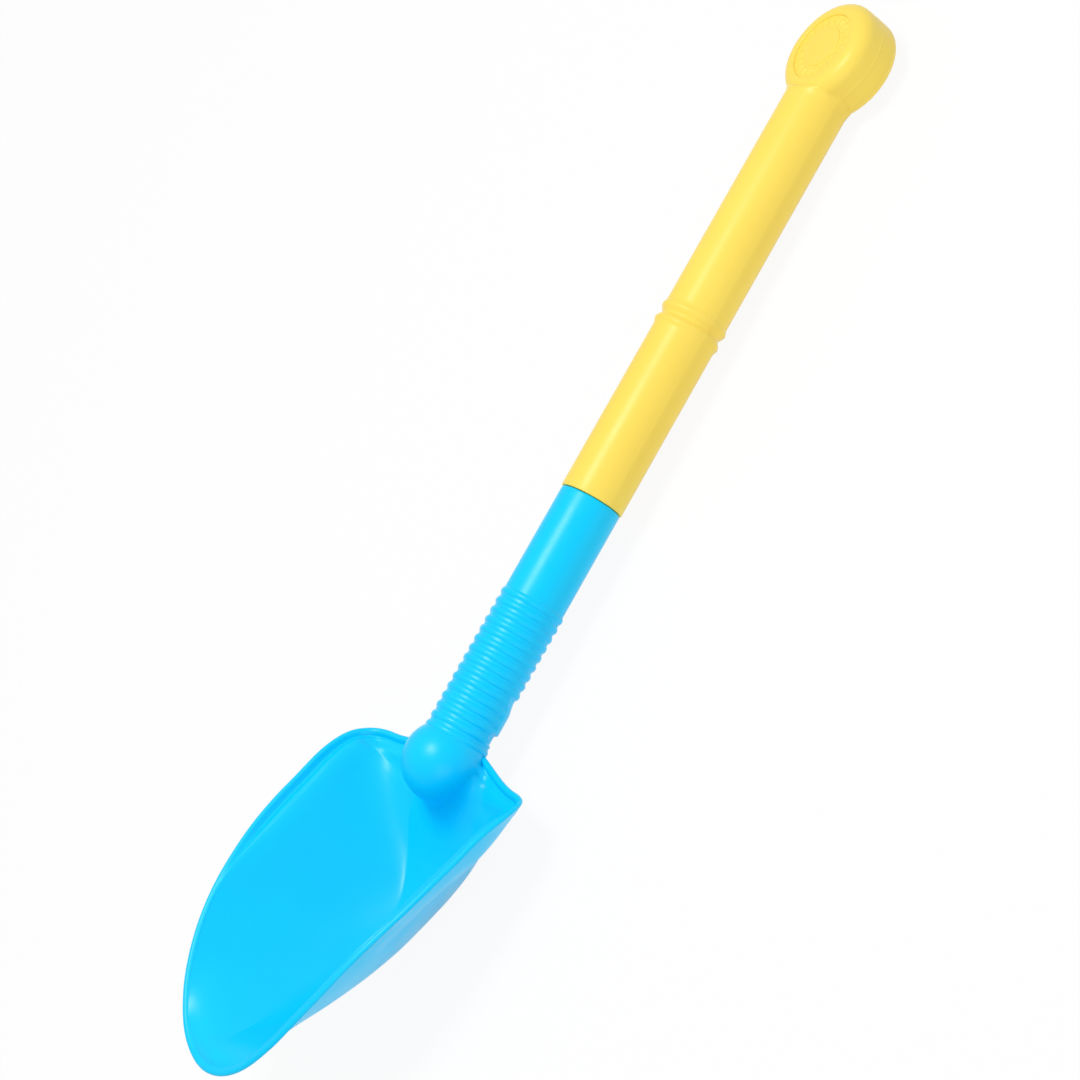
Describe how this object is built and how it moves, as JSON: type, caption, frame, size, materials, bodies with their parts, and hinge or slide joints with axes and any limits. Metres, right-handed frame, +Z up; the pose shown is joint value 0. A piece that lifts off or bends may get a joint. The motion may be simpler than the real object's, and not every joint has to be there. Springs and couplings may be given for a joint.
{
  "type": "sand shovel",
  "caption": "Long-handled toy sand shovel: deep pointed scoop with a ribbed hollow neck, and a round-knobbed tubular handle that pushes into its socket and turns there.",
  "frame": {"origin": "middle of the footprint, on the ground that the shovel lies on", "axes": "+Y along the shovel from the tip of the scoop to the knob, +Z up, out of the hollow of the scoop, +X across"},
  "size_m": [0.1248, 0.5499, 0.0669],
  "materials": {
    "scoop_plastic": "sky blue injection-moulded plastic, satin gloss",
    "handle_plastic": "warm yellow blow-moulded plastic, satin"
  },
  "bodies": {
    "scoop": {"scoop": "scoop_plastic"},
    "handle": {"handle": "handle_plastic"}
  },
  "joints": [
    {"name": "handle_twist", "type": "hinge", "parent": "scoop", "child": "handle", "pos_m": [0, 0.01955, 0.02235], "axis": [0, 0.9996, -0.0296], "continuous": true}
  ]
}
